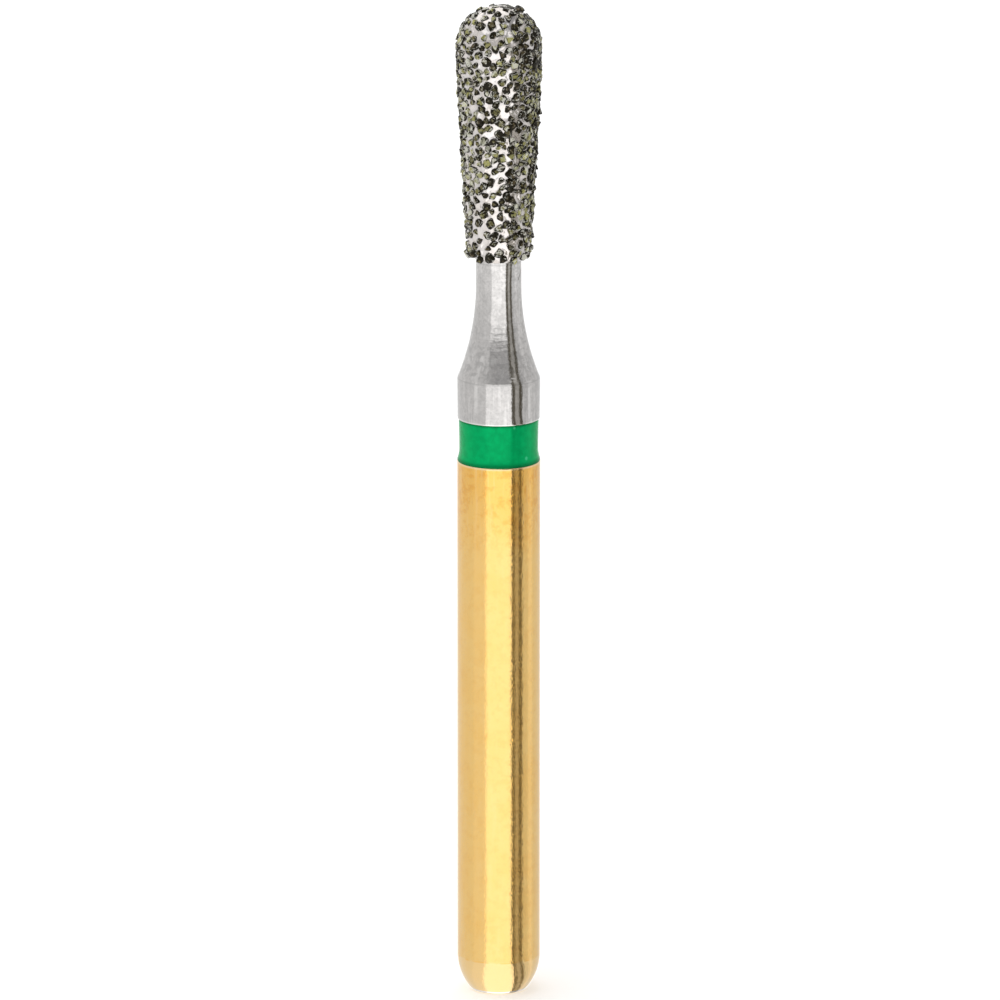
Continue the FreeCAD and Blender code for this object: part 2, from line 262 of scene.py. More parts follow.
def blank_finish(look):
    """Ground steel, plated gold below the middle of the colour ring."""
    finish = Finish("gold_and_steel")
    lead_in_top, ring_foot, ring_top = LEAD_IN_TOP / MM, RING_FOOT / MM, RING_TOP / MM
    collar_top, neck_foot, head_foot = COLLAR_TOP / MM, NECK_FOOT / MM, HEAD_FOOT / MM
    place = finish.place()
    height = finish.height(place)
    plated = 1 - finish.ramp(height, ring_foot + 0.2, ring_foot + 0.4)

    cloud = finish.noise(place, 1.3, 3.0)
    mottle = finish.noise(place, 6.0, 3.0)
    flecks = finish.noise(place, 11.0, 2.0)
    specks = finish.noise(place, 20.0, 3.0)
    turned = finish.noise(finish.stretched(place, (1.6, 1.6, 13.0)), 1.0, 3.0)
    drawn = finish.noise(finish.stretched(place, (13.0, 13.0, 1.0)), 1.0, 2.0)
    wave = finish.noise(finish.stretched(place, (1.0, 1.0, 0.55)), 0.9, 1.0)
    ripple = finish.noise(finish.stretched(place, (1.0, 1.0, 0.6)), 5.0, 2.0)

    gold = finish.mix(finish.ramp(cloud, 0.35, 0.75) * 0.4, look.gold, look.warm_gold)
    near_ring = finish.ramp(height + cloud * 1.2, ring_foot - 1.6, ring_foot + 0.7)
    gold = finish.mix(near_ring, gold, look.warm_gold)
    clouds = mottle * 0.62 + flecks * 0.20 + specks * 0.18
    tarnish = finish.ramp(clouds, 0.46, 0.62) * (0.14 + near_ring * 0.55)
    gold = finish.mix(tarnish, gold, look.tarnish)
    # Painted sheen: the lead-in painted paler, standing in for its brighter reflection
    tip = 1 - finish.ramp(height + cloud * 0.03, lead_in_top - 0.02, lead_in_top + 0.03)
    gold = finish.mix(tip * 0.75, gold, look.pale_gold_and_sheen)
    crease = 1 - finish.ramp(finish.math("ABSOLUTE", height - lead_in_top + cloud * 0.04), 0.004, 0.024)
    gold = finish.mix(crease * finish.ramp(mottle, 0.40, 0.62) * 0.8, gold, look.warm_gold)
    gold = finish.mix(finish.ramp(drawn, 0.50, 0.75) * (0.15 + near_ring * 0.30), gold, look.pale_gold_and_sheen)
    # Painted highlight: a pale ring on the rounded edge at the end of the shank
    arc = finish.ramp(height, 0.026, 0.036) * (1 - finish.ramp(height, 0.058, 0.074))
    gold = finish.mix(arc * 0.9, gold, look.bright_steel_and_highlight)
    # Painted highlight: a pale line along the top edge of the plating by the ring
    worn = finish.ramp(height, ring_foot - 0.055, ring_foot - 0.015)
    gold = finish.mix(worn * 0.65, gold, look.painted_highlight_gold)

    # Painted light: the steel painted lighter up the flare and neck, and lighter still towards the head
    neck = finish.ramp(height, collar_top + 0.1, neck_foot)
    steel = finish.mix(neck, look.steel, look.lit_neck_steel)
    painted_neck_highlight = finish.ramp(height, neck_foot - 0.7, head_foot)
    steel = finish.mix(painted_neck_highlight * 0.4, steel, look.bright_steel_and_highlight)
    steel = finish.mix(finish.ramp(specks, 0.40, 0.70) * 0.45, steel, look.dull_steel_and_shade)
    steel = finish.mix(finish.ramp(flecks, 0.42, 0.68) * 0.30, steel, look.dull_steel_and_shade)
    steel = finish.mix(finish.ramp(mottle, 0.40, 0.66) * 0.30, steel, look.dull_steel_and_shade)
    steel = finish.mix(finish.ramp(drawn, 0.52, 0.75) * 0.35, steel, look.bright_steel_and_highlight)
    # Painted reflection: a dark line along the rounded edge at the top of the collar
    painted_seam_line = 1 - finish.ramp(finish.math("ABSOLUTE", height - collar_top), 0.006, 0.020)
    steel = finish.mix(painted_seam_line * 0.55, steel, look.dull_steel_and_shade)
    for start, end, width in SCRATCHES:
        steel = finish.mix(finish.scratch(place, start, end, width) * 0.8, steel, look.scratch)
    # Painted highlights: soft bright streaks on the collar, flare and neck
    for start, end, width in PAINTED_STREAKS:
        painted_streak = finish.scratch(place, start, end, width) * (flecks * 0.6)
        steel = finish.mix(painted_streak, steel, look.bright_steel_and_highlight)
    # Painted shadow: a dark line on the neck just under the nickel's lip
    shade = 1 - finish.ramp(finish.math("ABSOLUTE", height - head_foot + 0.045), 0.010, 0.030)
    steel = finish.mix(shade * 0.5, steel, look.dull_steel_and_shade)
    # Painted highlight: a bright line along the lower edge of the collar
    painted_collar_highlight = 1 - finish.ramp(height, ring_top + 0.020, ring_top + 0.045)
    steel = finish.mix(painted_collar_highlight * 0.7, steel, look.bright_steel_and_highlight)
    flare = finish.ramp(height, collar_top - 0.05, collar_top + 0.05)
    flare *= 1 - finish.ramp(height, collar_top + 0.9, collar_top + 1.6)
    pits = finish.ramp(finish.noise(place, 9.0, 1.0), 0.53, 0.64) * (0.12 + flare * 0.50)
    steel = finish.mix(pits, steel, look.dull_steel_and_shade)
    colour = finish.mix(plated, steel, gold)

    bare = 1 - plated
    rough = 0.08 + specks * 0.05 + plated * 0.05 + flare * 0.03
    relief = wave * 7.0 + ripple * (1.2 + flare * 3.0) + flecks * (2.0 - bare * 1.2 + flare * 0.6)
    relief += specks * (3.0 - bare * 2.2 + flare * 0.6) + turned * (0.50 + bare * 0.25 + flare * 3.6)
    relief += drawn * 0.60
    normal = finish.bump(relief)
    coat = {"coat_weight": 0.85, "coat_roughness": 0.10}
    return finish.shade(base_color=colour, metallic=1.0, roughness=rough, normal=normal, **coat)


# Pale spots in the lacquer, place and reach in millimetres: the first two are painted highlights, the last
# two flecks
FLECKS_AND_GLINTS = (
    (on_skin(44, 10.64, 0.760), 0.050),
    (on_skin(23, 11.27, 0.766), 0.035),
    (on_skin(-128, 10.85, 0.756), 0.040),
    (on_skin(171, 11.08, 0.760), 0.035),
)


def lacquer_finish(look):
    """Glossy green lacquer, with painted shade making it darker where it meets the metal."""
    finish = Finish("green_lacquer")
    place = finish.place()
    height = finish.height(place)
    mottle = finish.noise(place, 9.0, 3.0)
    # Painted shade: darker green along the foot and top of the ring, under the collar's edge
    foot = 1 - finish.ramp(height + mottle * 0.04, RING_FOOT / MM + 0.03, RING_FOOT / MM + 0.12)
    top = finish.ramp(height + mottle * 0.03, RING_TOP / MM - 0.05, RING_TOP / MM + 0.01)
    colour = finish.mix(finish.ramp(mottle, 0.3, 0.7), look.green, [0.84 * part for part in look.green])
    colour = finish.mix(foot * 0.75 + top * 0.75, colour, look.shaded_edge_green)
    # Pale flecks, the two at the front being painted highlights
    for fleck_and_glint, size in FLECKS_AND_GLINTS:
        spot = 1 - finish.ramp(finish.gap(place, fleck_and_glint), size * 0.3, size)
        colour = finish.mix(spot * 0.8, colour, look.fleck_and_glint)
    relief = finish.noise(place, 3.0, 2.0) * 3.0 + mottle * 0.4
    rough = 0.20 + mottle * 0.08
    normal = finish.bump(relief)
    return finish.shade(base_color=colour, metallic=0.29, roughness=rough, ior=1.15, normal=normal)


def nickel_finish(look):
    """Bright nickel that was plated on, satin and slightly cloudy, with painted shade next to the grains."""
    finish = Finish("plated_nickel")
    place = finish.place()
    cloud = finish.noise(place, 4.0, 2.0)
    fine = finish.noise(place, 30.0, 3.0)
    crevice = finish.attribute("crevice")
    colour = finish.mix(finish.ramp(cloud, 0.35, 0.65), look.nickel, look.warm_nickel)
    # Painted shade: nickel darkened next to the grains, standing in for their shadow and dark reflection
    colour = finish.mix(finish.ramp(crevice + (fine - 0.5) * 0.3, 0.25, 0.95) * 0.6, colour, look.shaded_nickel)
    relief = cloud * 2.0 + fine * 1.0
    rough = 0.16 + fine * 0.14
    return finish.shade(base_color=colour, metallic=1.0, roughness=rough, normal=finish.bump(relief))


def diamond_finish(look):
    """Diamond crystals: olive to clear yellow green at the heart, painted near black towards the rim as
    painted shade, with painted reflections and glints inside.
    """
    finish = Finish("diamond")
    place = finish.place()
    heart_place = finish.node("Attribute", {"attribute_name": "heart"}, {}, "Vector")
    rim = finish.gap(place, heart_place) / finish.attribute("size")
    tone = finish.attribute("tone")
    facet = finish.attribute("facet")
    cloud = finish.noise(place, 17.0, 2.0, 0.6)
    fleck_and_glint = finish.noise(place, 30.0, 1.0)
    stops = [
        (0.20, look.brown_grain),
        (0.45, look.olive_grain),
        (0.72, look.clear_grain),
        (0.95, look.glassy_grain_and_gleam),
    ]
    heart = finish.node("ValToRGB", {"stops": stops}, {"Fac": tone})
    # Painted reflections: each facet's heart lighter or dimmer at random
    dim_heart = finish.mix(0.45, heart, look.shaded_rim_grain)
    heart = finish.mix(finish.ramp(facet + fleck_and_glint * 0.6, 0.30, 0.95), dim_heart, heart)
    # Painted reflections: pale glassy patches inside the hearts
    heart = finish.mix(finish.ramp(fleck_and_glint, 0.50, 0.68) * 0.45, heart, look.glassy_grain_and_gleam)
    # Painted shade: each grain darkens towards its rim, and clearer grains keep thinner dark rims
    depth = finish.ramp(rim + (cloud - 0.5) * 1.7 + (0.5 - facet) * 0.35 - tone * 0.36, 0.08, 0.36)
    colour = finish.mix(depth, heart, look.shaded_rim_grain)
    # Painted glints: light caught inside some grains
    spark = finish.ramp(facet * 0.6 + fleck_and_glint * 0.5 + tone * 0.16, 0.76, 0.88)
    colour = finish.mix(spark * 0.8, colour, look.glint)
    return finish.shade(base_color=colour, roughness=0.16 + cloud * 0.1, ior=1.24)


def arc_points(centre, radius, start, end, count):
    """Points on an arc in the half section, from one angle to another."""
    angles = [start + (end - start) * step / count for step in range(count + 1)]
    return [(centre[0] + radius * math.cos(a), centre[1] + radius * math.sin(a)) for a in angles]


def sweep_from_wall(wall, height, far, count):
    """An arc from a far point, inside or outside a cylinder, that meets it smoothly at a height."""
    inward = wall - far[0]
    along = height - far[1]
    radius = (inward ** 2 + along ** 2) / (2 * inward)
    centre = (wall - radius, height)
    start = math.atan2(far[1] - centre[1], far[0] - centre[0])
    end = 0.0 if radius > 0 else math.copysign(math.pi, start)
    return arc_points(centre, abs(radius), start, end, count)


def rounded(corners, steps=4):
    """A half section with its corners rounded. A corner is a radius, a height and its rounding."""
    outline = []
    for index, (x, y, rounding) in enumerate(corners):
        here = Vector((x, y))
        if not rounding or index in (0, len(corners) - 1):
            outline.append((x, y))
            continue
        before = (Vector(corners[index - 1][:2]) - here).normalized()
        after = (Vector(corners[index + 1][:2]) - here).normalized()
        half = before.angle(after) / 2
        reach = rounding / math.tan(half)
        centre = here + (before + after).normalized() * rounding / math.sin(half)
        first = here + before * reach - centre
        last = here + after * reach - centre
        turn = first.angle_signed(last)
        for step in range(steps + 1):
            point = centre + Matrix.Rotation(-turn * step / steps, 2) @ first
            outline.append((point.x, point.y))
    return outline


def plain(points):
    return [(x, y, 0.0) for x, y in points]


def new_mesh(name, points, faces):
    mesh = bpy.data.meshes.new(name)
    mesh.from_pydata(points, [], faces)
    mesh.update()
    return mesh


def joined_rows(rows):
    """Faces between neighbouring rows of corners. A row that repeats one point closes the surface."""
    faces = []
    for low, high in zip(rows, rows[1:]):
        for column in range(len(low)):
            after = (column + 1) % len(low)
            corners = (low[column], low[after], high[after], high[column])
            faces.append(list(dict.fromkeys(corners)))
    return faces


def turned_mesh(name, outline, columns):
    """Turns a half section, given as radius and height from the bottom up, about the axis."""
    points = []
    rows = []
    for radius, height in outline:
        if radius < 1e-9:
            rows.append([len(points)] * columns)
            points.append((0.0, 0.0, height))
            continue
        rows.append(list(range(len(points), len(points) + columns)))
        for column in range(columns):
            angle = 2 * math.pi * column / columns
            points.append((radius * math.cos(angle), radius * math.sin(angle), height))
    return new_mesh(name, points, joined_rows(rows))


def shown(mesh, material, smooth_below=None):
    """Puts a mesh in the scene with its material, smooth but for edges sharper than an angle."""
    mesh.materials.append(material)
    mesh.shade_smooth()
    if smooth_below:
        mesh.set_sharp_from_angle(angle=smooth_below)
    piece = bpy.data.objects.new(mesh.name, mesh)
    bpy.context.scene.collection.objects.link(piece)
    return piece


def blank_outline(edge):
    """Half section of the steel blank, from the middle of its end to the top of the core."""
    end_radius = BLANK[0][1]
    chamfer_height, chamfer_radius = BLANK[1]
    lead_in = sweep_from_wall(SHANK_RADIUS, LEAD_IN_TOP, (chamfer_radius, chamfer_height), 24)
    a = SHANK_RADIUS - NECK_RADIUS
    b = NECK_FOOT - COLLAR_TOP
    flare_radius = (a * a + b * b) / (2 * a)
    centre = (NECK_RADIUS + flare_radius, NECK_FOOT)
    spread = math.asin(b / flare_radius)
    flare = arc_points(centre, flare_radius, math.pi + spread, math.pi, 32)
    corners = [
        (0.0, 0.0, 0.0),
        (end_radius, 0.0, edge / 2),
        *plain(lead_in),
        (SHANK_RADIUS, RING_FOOT, edge),
        (GROOVE_RADIUS, RING_FOOT, 0.0),
        (GROOVE_RADIUS, RING_TOP, 0.0),
        (SHANK_RADIUS, RING_TOP, edge),
        *plain(flare),
        (NECK_RADIUS, HEAD_FOOT, 0.0),
        *plain(CORE),
    ]
    return rounded(corners)


def ring_outline(edge):
    """Half section of the lacquer ring: hollow across its face and climbing to the shank at its foot."""
    face = [(radius, height) for height, radius in RING]
    waist_radius, waist_height = min(face)
    top_radius = face[-1][0]
    foot = sweep_from_wall(waist_radius, waist_height, (SHANK_RADIUS, RING_FOOT), 10)
    top = sweep_from_wall(waist_radius, waist_height, (top_radius, RING_TOP), 8)
    corners = [
        (GROOVE_RADIUS, RING_FOOT, 0.0),
        (SHANK_RADIUS - edge / 3, RING_FOOT, 0.0),
        *plain(foot[1:]),
        *plain(reversed(top[1:-1])),
        (top_radius, RING_TOP, 0.0),
        (GROOVE_RADIUS, RING_TOP, 0.0),
        (GROOVE_RADIUS, RING_FOOT, 0.0),
    ]
    return rounded(corners)


def head_section():
    """Half section of the nickel coat, from its edge on the neck over the shoulder and taper to the tip."""
    dome = arc_points((0.0, DOME_CENTRE), COAT_RADIUS, TAPER_TURN, math.pi / 2, 60)
    corners = [
        (NECK_RADIUS, HEAD_FOOT, 0.0),
        (NECK_RADIUS + 0.02 * MM, HEAD_FOOT, 0.008 * MM),
        (*SHOULDER, 0.06 * MM),
        *plain(dome),
    ]
    return rounded(corners)


def evenly_spaced(outline, count):
    """Points at equal steps along a half section, with the outward direction at each."""
    points = np.array(outline)
    steps = np.hypot(*np.diff(points, axis=0).T)
    length = np.concatenate([[0.0], np.cumsum(steps)])
    stations = np.linspace(0.0, length[-1], count)
    spaced = np.column_stack([np.interp(stations, length, points[:, part]) for part in (0, 1)])
    along = np.gradient(spaced, axis=0)
    along /= np.linalg.norm(along, axis=1)[:, None]
    outward = np.column_stack([along[:, 1], -along[:, 0]])
    return spaced, outward, stations


# Patches of the head: azimuth from the front in degrees, height and reach in millimetres
BARE_PATCHES = (
    (-7, 18.50, 0.13),
    (-16, 17.67, 0.14),
    (5, 17.30, 0.13),
    (8, 16.32, 0.15),
    (-22, 16.45, 0.12),
    (-9, 15.28, 0.13),
    (-14, 16.95, 0.11),
    (24, 17.02, 0.11),
    (2, 14.66, 0.12),
    (-27, 14.80, 0.11),
    (20, 17.80, 0.12),
)
CLEAR_PATCHES = (
    (-62, 18.05, 0.35),
    (-55, 17.35, 0.30),
    (-62, 16.20, 0.42),
    (62, 17.55, 0.35),
    (43, 16.50, 0.35),
    (52, 15.45, 0.42),
    (9, 18.90, 0.20),
    (75, 18.00, 0.30),
    (-75, 17.60, 0.30),
    (80, 18.60, 0.25),
    (150, 17.20, 0.45),
    (-140, 16.00, 0.45),
)


class Grain:
    """Where a diamond grain sits: its middle at the nickel's surface, its axes and its outline."""

    def __init__(self, middle, outward, corners, proud, root, swell=1.0):
        self.middle = middle
        self.outward = outward
        side = outward.orthogonal().normalized()
        self.axes = (side, outward.cross(side))
        self.outline = [self.flat(corner) * swell for corner in corners]
        self.outline.sort(key=lambda corner: math.atan2(corner.y, corner.x))
        self.proud = proud
        self.root = root
        self.size = sum(corner.length for corner in self.outline) / len(self.outline)

    def flat(self, point):
        """A point's place across the grain's axis."""
        offset = point - self.middle
        return Vector((offset.dot(self.axes[0]), offset.dot(self.axes[1])))

    def solid(self, flat, lift):
        """The point at a place across the axis and a height along it."""
        return self.middle + self.axes[0] * flat.x + self.axes[1] * flat.y + self.outward * lift

    def edges(self):
        """Each side of the outline as a direction away from the middle and its distance."""
        sides = []
        for first, second in zip(self.outline, self.outline[1:] + self.outline[:1]):
            along = (second - first).normalized()
            away = Vector((along.y, -along.x))
            sides.append((away, away.dot(first)))
        return sides


def surface_at(point):
    """The nearest point of the plain nickel surface and its outward direction."""
    radius = math.hypot(point.x, point.y)
    reach = Vector((radius, point.z - DOME_CENTRE))
    slope = Vector((math.cos(TAPER_TURN), math.sin(TAPER_TURN)))
    if math.atan2(reach.y, reach.x) > TAPER_TURN:
        slope = reach.normalized()
    gap = reach.dot(slope) - COAT_RADIUS
    foot = reach - slope * gap
    around = Vector((point.x, point.y)) / max(radius, 1e-9)
    surface = Vector((around.x * foot.x, around.y * foot.x, foot.y + DOME_CENTRE))
    outward = Vector((around.x * slope.x, around.y * slope.x, slope.y))
    return surface, outward


def cad_grains():
    """The grains of the CAD model, found as the separate solids of its mesh."""
    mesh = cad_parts["diamond_grit"].data
    spots = {}
    spot_of = []
    for vertex in mesh.vertices:
        key = tuple(round(part / MM, 4) for part in vertex.co)
        spot_of.append(spots.setdefault(key, len(spots)))
    places = [Vector(key) * MM for key in spots]
    group = list(range(len(places)))

    def root_of(spot):
        while group[spot] != spot:
            spot = group[spot]
        return spot

    for edge in mesh.edges:
        first, second = (root_of(spot_of[index]) for index in edge.vertices)
        group[second] = first
    solids = {}
    for spot, place in enumerate(places):
        solids.setdefault(root_of(spot), []).append(place)

    grains = []
    for points in solids.values():
        middle, outward = surface_at(sum(points, Vector()) / len(points))
        points.sort(key=lambda point: (point - middle).dot(outward))
        root, corners, tip = points[0], points[1:-1], points[-1]
        outward = (tip - root).normalized()
        middle = sum(corners, Vector()) / len(corners)
        proud = (tip - middle).dot(outward)
        grains.append(Grain(middle, outward, corners, proud, (root - middle).dot(outward), COARSE_SWELL))
    return grains


def nearness(point, patches):
    """1 in the middle of a patch of the head, and 0 from its edge on."""
    best = 0.0
    radius = math.hypot(point.x, point.y)
    for azimuth, height, width in patches:
        middle = Vector(on_skin(azimuth, height * MM, radius))
        best = max(best, 1 - (point - middle).length / (width * MM))
    return best


def fine_grains(coarse, look):
    """More grains scattered in the gaps, most of them on one side, with a few bare patches left."""
    chance = random.Random(look.seed)
    section = evenly_spaced(head_section(), SCATTER_ROWS)[0]
    rows = chance.choices(range(len(section)), section[:, 0], k=look.tries)
    taken = np.array([grain.middle for grain in coarse])
    sizes = np.array([grain.size for grain in coarse])
    grains = []
    for row in rows:
        radius, height = section[row]
        turn = chance.uniform(0.0, 2 * math.pi)
        size = chance.uniform(look.smallest, look.largest) / 2
        point = Vector((radius * math.cos(turn), radius * math.sin(turn), height))
        crowd = CROWD_MIDDLE + CROWD_SWING * math.cos(turn - look.crowded_side)
        opening = FRONT_OPENING * max(0.0, -math.sin(turn)) ** 4
        opening += DOME_OPENING if height > DOME_FOOT else 0.0
        opening += FOOT_OPENING if height < FOOT_TOP else 0.0
        thin = noise.noise(point / MM * 1.7) > look.bareness + 0.3 * crowd
        bare = thin or nearness(point, BARE_PATCHES) > 0
        gaps = np.linalg.norm(taken - np.array(point), axis=1)
        tight = (gaps < (size + sizes) * (look.spacing - 0.19 * crowd + opening)).any()
        if height < LOWEST_GRAIN or bare or tight:
            continue
        taken = np.vstack([taken, point])
        sizes = np.append(sizes, size)
        grains.append(scattered_grain(point, size, chance))
        if len(grains) >= look.count:
            break
    return grains


def scattered_grain(point, size, chance):
    """A grain of its own random outline at a point of the nickel surface."""
    middle, direction = surface_at(point)
    direction = (direction + Vector([chance.uniform(-TILT, TILT) for part in range(3)])).normalized()
    side = direction.orthogonal().normalized()
    across = direction.cross(side)
    count = chance.choice((3, 4, 4, 5, 5))
    start = chance.uniform(0.0, 2 * math.pi)
    stretch = chance.uniform(1.0, 1.22)
    corners = []
    for corner in range(count):
        angle = start + 2 * math.pi * (corner + chance.uniform(-0.2, 0.2)) / count
        reach = size * chance.uniform(0.85, 1.2)
        offset = side * math.cos(angle) * stretch + across * math.sin(angle) / stretch
        corners.append(middle + offset * reach)
    return Grain(middle, direction, corners, size * chance.uniform(0.42, 0.92), -size)


def crystal_points(grain, chance):
    """Corners of a blunt block: a root in the nickel, a girdle, a shoulder and a slanting table."""
    spots = [(Vector((0.0, 0.0)), grain.root * 0.8)]
    drift = Vector((chance.uniform(-0.28, 0.28), chance.uniform(-0.28, 0.28))) * grain.size
    slant = Vector((chance.uniform(-0.30, 0.30), chance.uniform(-0.30, 0.30)))
    shoulder = chance.uniform(0.86, 1.0)
    table = chance.uniform(0.42, 0.72)
    waist = chance.uniform(0.50, 0.80)
    outline = grain.outline
    for index, corner in enumerate(outline):
        cut = chance.uniform(0.16, 0.36)
        swell = chance.uniform(0.90, 1.12)
        for neighbour in (outline[index - 1], outline[(index + 1) % len(outline)]):
            spot = corner.lerp(neighbour, cut) * swell
            spots.append((spot, -0.12 * grain.proud))
            spots.append((spot * shoulder * chance.uniform(0.9, 1.05), grain.proud * waist))
        spot = corner * table * chance.uniform(0.7, 1.2) + drift
        spots.append((spot, grain.proud * 0.95 + slant.dot(spot)))
    highest = max(lift for spot, lift in spots)
    excess = max(over_size(grain.solid(spot, lift)) for spot, lift in spots)
    squeeze = min(1.0, 1 - excess / highest)
    return [grain.solid(spot, lift * squeeze if lift > 0 else lift) for spot, lift in spots]


def over_size(point):
    """How far a point lies outside the box of the CAD grit."""
    return max(max(point - GRIT_HIGH), max(GRIT_LOW - point))


def crystal(parts, grain, chance, bevel):
    """Adds one crystal with worn edges to the lists that a grit mesh is made from."""
    made = bmesh.new()
    points = crystal_points(grain, chance)
    heart = sum(points[5::5], Vector()) / len(points[5::5]) / MM
    for point in points:
        made.verts.new(point)
    bmesh.ops.convex_hull(made, input=made.verts)
    loose = [vertex for vertex in made.verts if not vertex.link_faces]
    bmesh.ops.delete(made, geom=loose, context="VERTS")
    bmesh.ops.dissolve_limit(made, angle_limit=SAME_PLANE, verts=made.verts, edges=made.edges)
    worn = {"segments": 1, "profile": 0.5, "affect": "EDGES", "clamp_overlap": True}
    bmesh.ops.bevel(made, geom=made.edges, offset=bevel, **worn)
    bmesh.ops.recalc_face_normals(made, faces=made.faces)

    tone = grain_tone(grain, chance.random())
    start = len(parts["points"])
    for index, vertex in enumerate(made.verts):
        vertex.index = index
        parts["points"].append(kept_in_box(vertex.co.copy()))
        parts["heart"].extend(heart)
        parts["size"].append(grain.size / MM)
        parts["tone"].append(tone)
    for face in made.faces:
        parts["faces"].append([start + vertex.index for vertex in face.verts])
        parts["facet"].append(chance.random())
    made.free()


def kept_in_box(point):
    """A point drawn in to the box of the CAD grit."""
    return Vector(sorted((low, part, high))[1] for low, part, high in zip(GRIT_LOW, point, GRIT_HIGH))


def grain_tone(grain, shade):
    """How clear a grain is, from 0 for brown to 1 for glassy: neighbours tend to be alike. Painted light
    makes grains paler on the left side and darker facing the front.
    """
    patch = noise.noise(grain.middle / MM * 1.4 + Vector((3.1, 0.4, 7.7)))
    # Painted light: paler grains on the left side, darker ones facing the front
    lit_left_side = max(0.0, -grain.middle.x / COAT_RADIUS)
    clear = min(1.0, 2.5 * nearness(grain.middle, CLEAR_PATCHES))
    shaded_front = max(0.0, -grain.middle.y / COAT_RADIUS) ** 4
    tone = 0.62 * shade + 0.4 * patch + 0.05 + 0.34 * lit_left_side - 0.13 * shaded_front
    return min(max(tone * (1 - clear) + clear * (0.60 + 0.28 * shade), 0.0), 1.0)


def grit_mesh(name, grains, seed, bevel):
    """All crystals of one piece, with the attributes that the diamond finish reads."""
    chance = random.Random(seed)
    parts = {"points": [], "faces": [], "heart": [], "size": [], "tone": [], "facet": []}
    for grain in grains:
        crystal(parts, grain, chance, bevel)
    mesh = new_mesh(name, parts["points"], parts["faces"])
    for attribute, domain in (("size", "POINT"), ("tone", "POINT"), ("facet", "FACE")):
        mesh.attributes.new(attribute, "FLOAT", domain).data.foreach_set("value", parts[attribute])
    mesh.attributes.new("heart", "FLOAT_VECTOR", "POINT").data.foreach_set("vector", parts["heart"])
    return mesh


def meniscus(points, grains, look):
    """How far the nickel stands above its plain surface where it climbs the grains."""
    climb = np.zeros(len(points))
    for grain in grains:
        offset = points - np.array(grain.middle)
        near = np.flatnonzero(np.einsum("ij,ij->i", offset, offset) < (grain.size + 5 * look.reach) ** 2)
        across = [offset[near] @ np.array(axis) for axis in grain.axes]
        gap = np.full(len(near), -1.0)
        for away, reach in grain.edges():
            gap = np.maximum(gap, across[0] * away.x + across[1] * away.y - reach * 0.9)
        share = np.where(gap > 0, np.exp(-gap / look.reach), np.exp(gap / (0.5 * look.reach)))
        climb[near] += share * min(1.0, grain.size / FULL_CLIMB_GRAIN)
    return look.climb * MOST_CLIMB * (1 - np.exp(-climb / MOST_CLIMB))


def nickel_mesh(name, grains, look):
    """The nickel coat: a closed shell on the core, whose outer face climbs round every grain."""
    columns = look.columns
    section, outward, stations = evenly_spaced(head_section(), look.rows)
    turn = 2 * np.pi * np.arange(columns) / columns
    circle = np.column_stack([np.cos(turn), np.sin(turn)])
    rows = len(section) - 1

    def spread(pair):
        flat = pair[:rows, None, 0:1] * circle[None]
        tall = np.repeat(pair[:rows, None, 1:2], columns, axis=1)
        return np.concatenate([flat, tall], axis=2).reshape(-1, 3)

    points = spread(section)
    normals = spread(outward)
    lift = meniscus(points, grains, look)
    # Kept for the painted shade of the nickel next to the grains
    crevice = lift / (MOST_CLIMB * look.climb)
    for scale, depth in ((7.0, look.nodules), (17.0, look.nodules * 0.5)):
        lift += [depth * noise.noise(Vector(point) / MM * scale) for point in points]
    fade = np.repeat(np.clip(stations[:rows] / FOOT_FADE, 0.0, 1.0), columns)
    points = points + normals * (lift * fade)[:, None]

    verts = [tuple(point) for point in points]
    outer = [range(row * columns, (row + 1) * columns) for row in range(rows)]
    outer.append([len(verts)] * columns)
    verts.append((0.0, 0.0, section[-1][1]))
    inner = []
    for radius, height in CORE[:-1]:
        inner.insert(0, range(len(verts), len(verts) + columns))
        verts.extend((radius * x, radius * y, height) for x, y in circle)
    inner.insert(0, [len(verts)] * columns)
    verts.append((0.0, 0.0, CORE[-1][1]))
    mesh = new_mesh(name, verts, joined_rows(inner + outer))
    values = np.zeros(len(verts))
    values[:len(crevice)] = crevice
    mesh.attributes.new("crevice", "FLOAT", "POINT").data.foreach_set("value", values)
    return mesh


def count_setting(name, description, default, least=0):
    return IntProperty(name=name, description=description, default=default, min=least)


def length_setting(name, description, millimetres):
    default = millimetres * MM
    return FloatProperty(name=name, description=description, default=default, unit="LENGTH", precision=6)


def colour_setting(name, description, default):
    return FloatVectorProperty(name=name, description=description, default=default, subtype="COLOR")


def angle_setting(name, description, degrees):
    default = math.radians(degrees)
    return FloatProperty(name=name, description=description, default=default, subtype="ANGLE")


def strength_setting(name, description, default):
    return FloatProperty(name=name, description=description, default=default, min=0.0)


